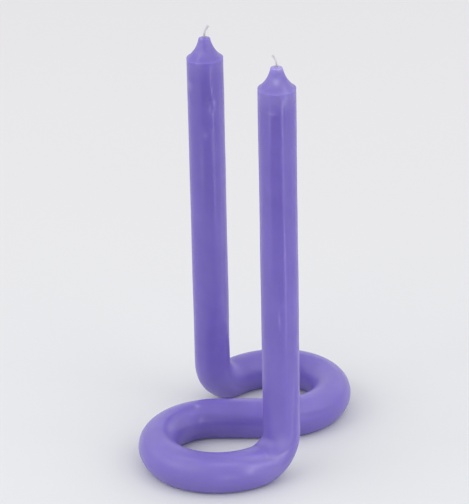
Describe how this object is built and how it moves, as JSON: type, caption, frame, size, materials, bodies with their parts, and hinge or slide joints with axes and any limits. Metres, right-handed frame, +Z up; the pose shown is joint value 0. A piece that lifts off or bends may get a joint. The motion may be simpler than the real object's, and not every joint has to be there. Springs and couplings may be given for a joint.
{
  "type": "twist candle",
  "caption": "Twist candle: a round wax rod bent into an S-shaped base of open loops and turned up into tall legs that end in milled tips with a cotton wick.",
  "frame": {"origin": "on the table plane, under the middle of the straight stretch between the loops", "axes": "+Z up along the legs, +X along the straight stretch towards the rear loop, +Y to the rear of the candle"},
  "size_m": [0.111, 0.1386, 0.2307],
  "materials": {
    "wax": "smooth semi-gloss coloured paraffin wax",
    "wick": "braided cotton, primed with wax"
  },
  "bodies": {
    "root": {"wax_body": "wax", "wick": "wick"}
  },
  "joints": []
}
